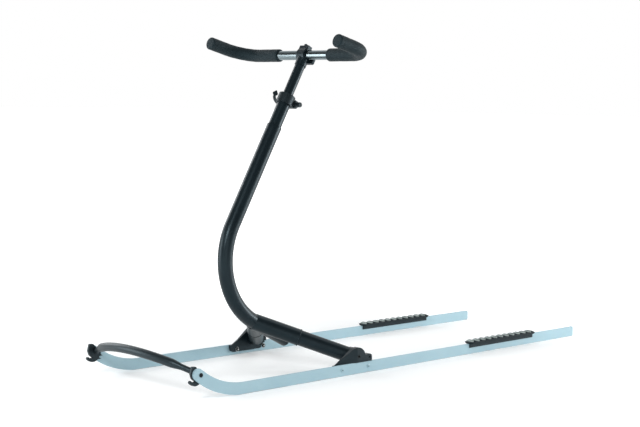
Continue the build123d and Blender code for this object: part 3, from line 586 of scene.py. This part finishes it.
# Stem: a cast aluminium clamp round the bar, coated black. Its cap is drawn up behind by four screws,
# two through each of its ears.
SCREW_SPOTS = [(0.022, 0.0125), (-0.022, 0.0125), (0.022, -0.0125), (-0.022, -0.0125)]     # x, up
STEM_EDGE = 0.0012
CAP_BACK = 0.022
CAP_SCREW_R = 0.0025
CAP_SCREW_LEN = 0.004
CAP_HEAD_R = 0.0042
CAP_HEAD_H = 0.0022
CAP_SOCKET_R = 0.0018
soften("stem", STEM_EDGE, coat, "bar")
cap_profile = [(-CAP_SCREW_LEN, CAP_SCREW_R, 0), (0.0, CAP_SCREW_R, 0)]
cap_profile += button_head(CAP_HEAD_R, CAP_HEAD_H, CAP_SOCKET_R)
for k, (x, up) in enumerate(SCREW_SPOTS):
    skin(f"stem_screw_{k}", revolve(cap_profile, on_mast(-up, x, CAP_BACK), MAST_BACK),
         black_oxide, "bar")


# Handlebar: one stainless tube, bent into two horns and polished round, so it shines in soft bands.
# The stem clamps it in the middle, and its horns carry the grips.

# Polished stainless steel: bright bands blurred round the tube by polishing rings, drawn 0.7 mm apart.
polished, tree, shader, spot = finish("polished_stainless_steel")
ring_spot = add(tree, "ShaderNodeMapping", {"Scale": (1.0, 0.05, 0.05)}, {"Vector": spot})
rings = add(tree, "ShaderNodeTexNoise", {"Scale": 1400.0, "Detail": 2.0}, {"Vector": ring_spot.outputs[0]})
cloud = add(tree, "ShaderNodeTexNoise", {"Scale": 60.0, "Detail": 3.0}, {"Vector": spot})
tone = add(tree, "ShaderNodeMixRGB", {"Color1": linear("6C797D"), "Color2": linear("869296")},
           {"Fac": cloud.outputs["Fac"]})
sheen = add(tree, "ShaderNodeMapRange", {"To Min": 0.12, "To Max": 0.24}, {"Value": rings.outputs["Fac"]})
wire(tree, shader, {"Metallic": 1.0}, {"Base Color": tone.outputs[0], "Roughness": sheen.outputs[0]})
dress(nodes["handlebar"], polished)


# Grips: charcoal foam tubes pushed over the horns, closed-cell, with a skin that shows its pores.
# Their ends are rounded over.
GRIP_R = 0.01896
GRIP_START_X = 0.104
GRIP_EDGE = 0.004
GRIP_WAVE = 0.00025                  # depth of the foam's faint hollows
WAVE_STEP = 0.7                      # radians from one ring to the next
HORN_X = 0.2678
HORN_BEND_R = 0.0735
HORN_REACH = 0.141
HORN_RISE = np.radians(14.1)
REACH = np.array([0.0, -np.cos(HORN_RISE), np.sin(HORN_RISE)])

# Charcoal foam: a dull dark grey with a cool haze, pores 1.2 mm across and palm-sized worn patches.
foam, tree, shader, spot = finish("charcoal_grip_foam")
pores = add(tree, "ShaderNodeTexVoronoi", {"Scale": 800.0}, {"Vector": spot})
cloud = add(tree, "ShaderNodeTexNoise", {"Scale": 22.0, "Detail": 5.0}, {"Vector": spot})
tone = add(tree, "ShaderNodeMixRGB", {"Color1": linear("10191C"), "Color2": linear("1D272B")},
           {"Fac": cloud.outputs["Fac"]})
dots = add(tree, "ShaderNodeMapRange", {"From Max": 0.5, "To Min": 0.35, "To Max": 0.0},
           {"Value": pores.outputs["Distance"]})
colour = add(tree, "ShaderNodeMixRGB", {"Color2": linear("0B0F10")},
             {"Fac": dots.outputs[0], "Color1": tone.outputs[0]})
bump = add(tree, "ShaderNodeBump", {"Strength": 0.5, "Distance": 0.0005},
           {"Height": pores.outputs["Distance"]})
wire(tree, shader, {"Roughness": 0.62, "IOR": 1.42, "Specular Tint": linear("BFE0EE")},
     {"Base Color": colour.outputs[0], "Normal": bump.outputs[0]})


def horn_line(along_bar, turned, along_horn, side):
    """Points of a horn's axis: a straight run, a quarter circle and the reach forward, as one array."""
    corner = HORN_X - HORN_BEND_R
    x = np.concatenate([along_bar, corner + HORN_BEND_R * np.sin(turned), np.full(len(along_horn), HORN_X)])
    ahead = np.concatenate([0 * along_bar, HORN_BEND_R * (1 - np.cos(turned)), along_horn])
    return BAR_AT + np.stack([side * x, 0 * x, 0 * x], axis=-1) + ahead[:, None] * REACH


quarter = np.linspace(0, np.pi / 2, 6)
rounded = len(quarter)
start = GRIP_START_X + GRIP_EDGE * (1 - np.cos(quarter))
end = HORN_REACH - GRIP_EDGE * (1 - np.sin(quarter))
run = np.concatenate([start, np.linspace(start[-1], HORN_X - HORN_BEND_R, 18)[1:]])
turned = np.linspace(0, np.pi / 2, 40)[1:]
ahead = np.concatenate([np.linspace(HORN_BEND_R, end[0], 16)[1:], end[1:]])
radius = np.full(len(run) + len(turned) + len(ahead), GRIP_R)
radius[rounded:-rounded] += GRIP_WAVE * np.sin(np.arange(len(radius) - 2 * rounded) * WAVE_STEP)
radius = np.minimum(radius, GRIP_R)
radius[:rounded] -= GRIP_EDGE * (1 - np.sin(quarter))
radius[-rounded:] -= GRIP_EDGE * (1 - np.cos(quarter))
bar_side = np.cross((1.0, 0, 0), REACH)
for side, hand in SIDES:
    grip = skin("grip_foam_" + hand, sweep(horn_line(run, turned, ahead, side), bar_side, radius, count=56),
                foam, "bar")
    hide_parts("grip_" + hand)


# End plugs: moulded nylon caps pushed into the bar's ends, with a flange over the foam and a shallow dish.
# Their tool was polished, so they shine where the other nylon is dull.
PLUG_R = 0.0135
PLUG_DEEP = 0.0030                   # in the tube
PLUG_EDGE = 0.0001
PLUG_DISH = 0.0011
DISH_SIDE = 0.0009

# Glossy nylon: near black, with one clear highlight.
glossy_nylon, tree, shader, spot = finish("glossy_moulded_nylon")
cloud = add(tree, "ShaderNodeTexNoise", {"Scale": 90.0, "Detail": 2.0}, {"Vector": spot})
tone = add(tree, "ShaderNodeMixRGB", {"Color1": linear("14191B"), "Color2": linear("1E2527")},
           {"Fac": cloud.outputs["Fac"]})
sheen = add(tree, "ShaderNodeMapRange", {"To Min": 0.24, "To Max": 0.34}, {"Value": cloud.outputs["Fac"]})
wire(tree, shader, {"IOR": 1.53}, {"Base Color": tone.outputs[0], "Roughness": sheen.outputs[0]})
plug_profile = [(-PLUG_DEEP, PLUG_R * 0.9, 0), (-2 * PLUG_EDGE, PLUG_R * 0.98, 0), (-PLUG_EDGE, PLUG_R, 0),
                (-PLUG_EDGE / 2, PLUG_R * 0.86, 0), (-DISH_SIDE, PLUG_R * 0.72, 0),
                (-PLUG_DISH, PLUG_R * 0.3, 0), (-PLUG_DISH, PLUG_R * 0.06, 0)]
for side, hand in SIDES:
    end_at = BAR_AT + np.array([side * HORN_X, 0, 0]) + REACH * HORN_REACH
    plug = skin("end_plug_" + hand, revolve(plug_profile, end_at, REACH),
                glossy_nylon, "bar")
    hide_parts("end_plugs")


# Camera at the photograph's place: front left of the sled, a little above the middle of the mast.
# Its directions and focal length are the ones that put both blades where the photograph has them.
CAMERA_AT = (3.08082, -3.18844, 0.79425)
CAMERA_RIGHT = Vector((0.703600, 0.710415, 0.016082))
CAMERA_UP = Vector((-0.068181, 0.044966, 0.996659))
SENSOR_WIDTH = 36.0                  # mm
PICTURE_WIDTH = 640                  # pixels
FOCAL_PIXELS = 1448.85
camera_data = bpy.data.cameras.new("camera")
camera_data.sensor_fit = "HORIZONTAL"
camera_data.sensor_width = SENSOR_WIDTH
camera_data.lens = FOCAL_PIXELS / PICTURE_WIDTH * SENSOR_WIDTH
camera = bpy.data.objects.new("camera", camera_data)
bpy.context.collection.objects.link(camera)
axes = Matrix((CAMERA_RIGHT, CAMERA_UP, CAMERA_RIGHT.cross(CAMERA_UP))).transposed()
camera.matrix_world = Matrix.Translation(CAMERA_AT) @ axes.to_4x4()
bpy.context.scene.camera = camera


# Floor: a white paper sweep that keeps the shadows near the sled. What the camera sees of it is lifted to
# plain white farther out, and mirrors see some of that lift too.
FLOOR_HALF = 60.0
NEAR_R = 0.7
FAR_R = 1.7
NEAR_LIFT = 0.15
MIRRORED_SHARE = 0.3
floor_mesh = bpy.data.meshes.new("floor")
corners = [(-1, -1, 0), (1, -1, 0), (1, 1, 0), (-1, 1, 0)]
floor_mesh.from_pydata([(x * FLOOR_HALF, y * FLOOR_HALF, z) for x, y, z in corners], [], [(0, 1, 2, 3)])
floor = bpy.data.objects.new("floor", floor_mesh)
bpy.context.collection.objects.link(floor)
white_floor, tree, shader, spot = finish("white_paper_floor")
ray = add(tree, "ShaderNodeLightPath")
mirrored = add(tree, "ShaderNodeMath", {"operation": "MULTIPLY", 1: MIRRORED_SHARE},
               {0: ray.outputs["Is Glossy Ray"]})
seen = add(tree, "ShaderNodeMath", {"operation": "MAXIMUM"},
           {0: ray.outputs["Is Camera Ray"], 1: ray.outputs["Is Transmission Ray"]})
seen = add(tree, "ShaderNodeMath", {"operation": "MAXIMUM"}, {0: seen.outputs[0], 1: mirrored.outputs[0]})
away = add(tree, "ShaderNodeVectorMath", {"operation": "LENGTH"}, {0: spot})
lift = add(tree, "ShaderNodeMapRange",
           {"From Min": NEAR_R, "From Max": FAR_R, "To Min": NEAR_LIFT, "To Max": 1.0},
           {"Value": away.outputs["Value"]})
glow = add(tree, "ShaderNodeMath", {"operation": "MULTIPLY"}, {0: lift.outputs[0], 1: seen.outputs[0]})
wire(tree, shader,
     {"Base Color": linear("F2F5F6"), "Roughness": 0.9, "Specular IOR Level": 0.2,
      "Emission Color": linear("FFFFFF")},
     {"Emission Strength": glow.outputs[0]})
floor_mesh.materials.append(white_floor)


# Room: white to the camera, and a soft even light on everything. Mirrors see white only beyond the sled and
# nearly black elsewhere, so black paint keeps its depth.
BEYOND = (-0.69, 0.72, 0.0)
DARK_UNTIL = 0.15                    # cosine to that direction
WHITE_FROM = 0.75
ROOM_LIGHT = 0.52
DARK_SIDE = 0.08
world = bpy.data.worlds.new("white_studio")
bpy.context.scene.world = world
world.use_nodes = True
tree = world.node_tree
way = add(tree, "ShaderNodeTexCoord")
behind = add(tree, "ShaderNodeVectorMath", {"operation": "DOT_PRODUCT", 1: BEYOND},
             {0: way.outputs["Generated"]})
backdrop = add(tree, "ShaderNodeMapRange",
               {"From Min": DARK_UNTIL, "From Max": WHITE_FROM, "To Min": DARK_SIDE, "To Max": 1.0},
               {"Value": behind.outputs["Value"]})
ray = add(tree, "ShaderNodeLightPath")
seen = add(tree, "ShaderNodeMath", {"operation": "MAXIMUM"},
           {0: ray.outputs["Is Glossy Ray"], 1: ray.outputs["Is Transmission Ray"]})
level = add(tree, "ShaderNodeMapRange", {"To Min": ROOM_LIGHT},
            {"Value": seen.outputs[0], "To Max": backdrop.outputs[0]})
light = add(tree, "ShaderNodeMath", {"operation": "MAXIMUM"},
            {0: level.outputs[0], 1: ray.outputs["Is Camera Ray"]})
wire(tree, tree.nodes["Background"], {"Color": linear("FFFFFF")}, {"Strength": light.outputs[0]})


# Soft boxes: a small key high in front, which throws the shadows back under the sled; two on the picture's
# left and one beside the camera, which draw the bands on the tubes; one beyond the rear on the right, for
# the blades' sides; and one overhead.
LAMPS = [    # name, place, aim, width, height, watts
    ("key_box", (1.30, -3.40, 2.0), (0.0, -0.5, 0.1), 0.6, 0.6, 46.0),
    ("left_box", (-3.0, -0.7, 1.7), (0.0, -0.3, 0.6), 1.6, 1.5, 24.0),
    ("front_box", (-2.1, -3.0, 0.85), (0.0, -0.4, 0.4), 1.2, 1.7, 40.0),
    ("camera_box", (4.3, -3.1, 1.0), (0.1, -0.3, 0.2), 1.8, 1.1, 16.0),
    ("rear_box", (1.8, 2.35, 0.7), (0.2, 0.95, 0.05), 1.2, 1.0, 46.0),
    ("top_box", (0.4, 0.9, 3.2), (0.0, 0.0, 0.1), 1.5, 1.5, 10.0),
]
for name, at, aim, width, height, power in LAMPS:
    lamp = bpy.data.lights.new(name, "AREA")
    lamp.shape = "RECTANGLE"
    lamp.size = width
    lamp.size_y = height
    lamp.energy = power
    lamp_object = bpy.data.objects.new(name, lamp)
    lamp_object.location = at
    lamp_object.rotation_euler = (Vector(aim) - Vector(at)).to_track_quat("-Z", "Y").to_euler()
    bpy.context.collection.objects.link(lamp_object)

bpy.context.scene.view_settings.view_transform = "Standard"
